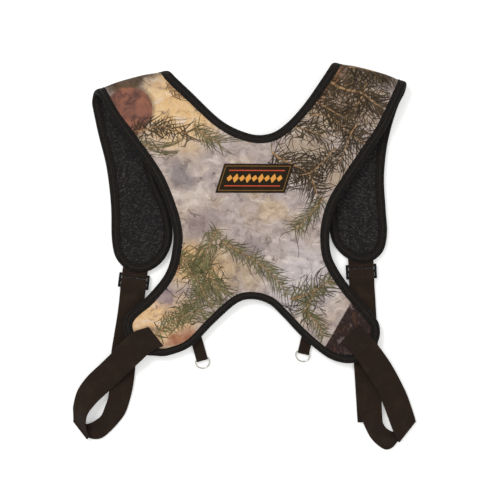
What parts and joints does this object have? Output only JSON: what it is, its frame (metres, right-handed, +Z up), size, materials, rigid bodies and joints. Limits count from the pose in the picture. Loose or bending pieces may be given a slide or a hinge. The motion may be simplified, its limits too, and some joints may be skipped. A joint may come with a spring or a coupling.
{
  "type": "binocular shoulder harness",
  "caption": "Padded X-shaped shoulder harness with folded front pads, webbing adjuster straps, ladder locks and small D-rings for a binocular case.",
  "frame": {"origin": "centre of the bounding box on the table the harness lies on", "axes": "+X to the right seen from above, +Y towards the neck, +Z up from the table; the printed side of the back panel faces up"},
  "size_m": [0.3463, 0.3895, 0.0168],
  "materials": {
    "printed_shell": "matt brushed polyester with a woodland print",
    "foam_core": "closed-cell foam, hidden",
    "mesh_lining": "matt spacer mesh",
    "edge_tape": "matt ribbed tape",
    "webbing": "matt woven webbing",
    "woven_label": "satin woven label",
    "plated_wire": "nickel-plated wire",
    "moulded_lock": "moulded acetal, satin"
  },
  "bodies": {
    "front_pads": {"left_pad_shell": "printed_shell", "left_pad_foam": "foam_core", "left_pad_lining": "mesh_lining", "left_pad_binding": "edge_tape", "left_lock_tab": "webbing", "right_pad_shell": "printed_shell", "right_pad_foam": "foam_core", "right_pad_lining": "mesh_lining", "right_pad_binding": "edge_tape", "right_lock_tab": "webbing", "left_fold_shell": "printed_shell", "left_fold_foam": "foam_core", "left_fold_lining": "mesh_lining", "left_fold_outer_binding": "edge_tape", "left_fold_neck_binding": "edge_tape", "right_fold_shell": "printed_shell", "right_fold_foam": "foam_core", "right_fold_lining": "mesh_lining", "right_fold_outer_binding": "edge_tape", "right_fold_neck_binding": "edge_tape", "left_adjuster_strap": "webbing", "right_adjuster_strap": "webbing"},
    "yoke": {"yoke_shell": "printed_shell", "yoke_foam": "foam_core", "yoke_lining": "mesh_lining", "neck_binding": "edge_tape", "side_binding": "edge_tape", "label_patch": "woven_label", "left_ring_tab": "webbing", "right_ring_tab": "webbing"},
    "left_ring": {"left_d_ring": "plated_wire"},
    "right_ring": {"right_d_ring": "plated_wire"},
    "left_lock": {"left_ladder_lock": "moulded_lock"},
    "right_lock": {"right_ladder_lock": "moulded_lock"}
  },
  "joints": [
    {"name": "shoulder_fold", "type": "hinge", "parent": "front_pads", "child": "yoke", "pos_m": [0, 0.18, 0.0083], "axis": [-1, 0, 0], "range_deg": [0, 25], "deforming": ["left_fold_shell", "left_fold_foam", "left_fold_lining", "left_fold_outer_binding", "left_fold_neck_binding", "right_fold_shell", "right_fold_foam", "right_fold_lining", "right_fold_outer_binding", "right_fold_neck_binding", "left_adjuster_strap", "right_adjuster_strap"]},
    {"name": "left_ring_swing", "type": "hinge", "parent": "yoke", "child": "left_ring", "pos_m": [-0.0429, -0.1034, 0.0023], "axis": [-0.9629, -0.27, 0], "range_deg": [0, 115]},
    {"name": "right_ring_swing", "type": "hinge", "parent": "yoke", "child": "right_ring", "pos_m": [0.0594, -0.0966, 0.0023], "axis": [-0.9732, 0.23, 0], "range_deg": [0, 115]},
    {"name": "left_lock_tilt", "type": "hinge", "parent": "front_pads", "child": "left_lock", "pos_m": [-0.1106, -0.0189, 0.0033], "axis": [-0.9928, 0.12, 0], "range_deg": [0, 12], "deforming": ["left_adjuster_strap"]},
    {"name": "right_lock_tilt", "type": "hinge", "parent": "front_pads", "child": "right_lock", "pos_m": [0.1172, -0.0093, 0.0033], "axis": [-0.9987, -0.05, 0], "range_deg": [0, 12], "deforming": ["right_adjuster_strap"]}
  ]
}
